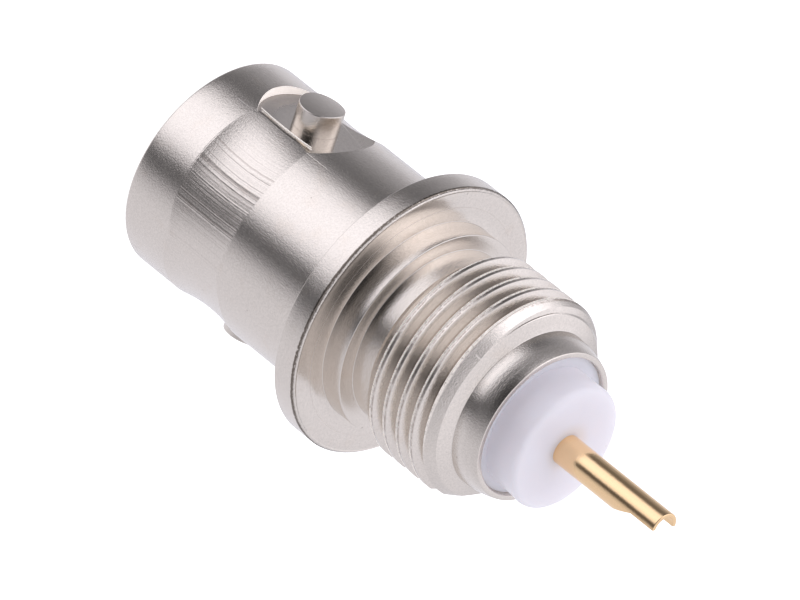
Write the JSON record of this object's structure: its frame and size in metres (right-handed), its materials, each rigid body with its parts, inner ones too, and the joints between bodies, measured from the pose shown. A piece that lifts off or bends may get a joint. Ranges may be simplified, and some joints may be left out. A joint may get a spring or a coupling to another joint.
{
  "type": "coaxial bayonet bulkhead jack",
  "caption": "Bulkhead-mount coaxial bayonet jack with lugged barrel, flange, keyed threaded shank, stepped white insulator and gold centre contact ending in a solder cup.",
  "frame": {"origin": "centre of the mouth's front face, which the part stands on", "axes": "+Z along the connector's axis from the mouth to the solder cup, +X through the bayonet lug opposite the key flat"},
  "size_m": [0.0124, 0.0124, 0.0274],
  "materials": {
    "nickel_plate": "nickel plate over turned and milled brass, satin with fine tool marks",
    "ptfe": "smooth white PTFE with a soft sheen",
    "gold_plate": "gold plate over brass, fine turning marks"
  },
  "bodies": {
    "root": {"body": "nickel_plate", "front_insulator": "ptfe", "rear_insulator": "ptfe", "contact": "gold_plate"}
  },
  "joints": []
}
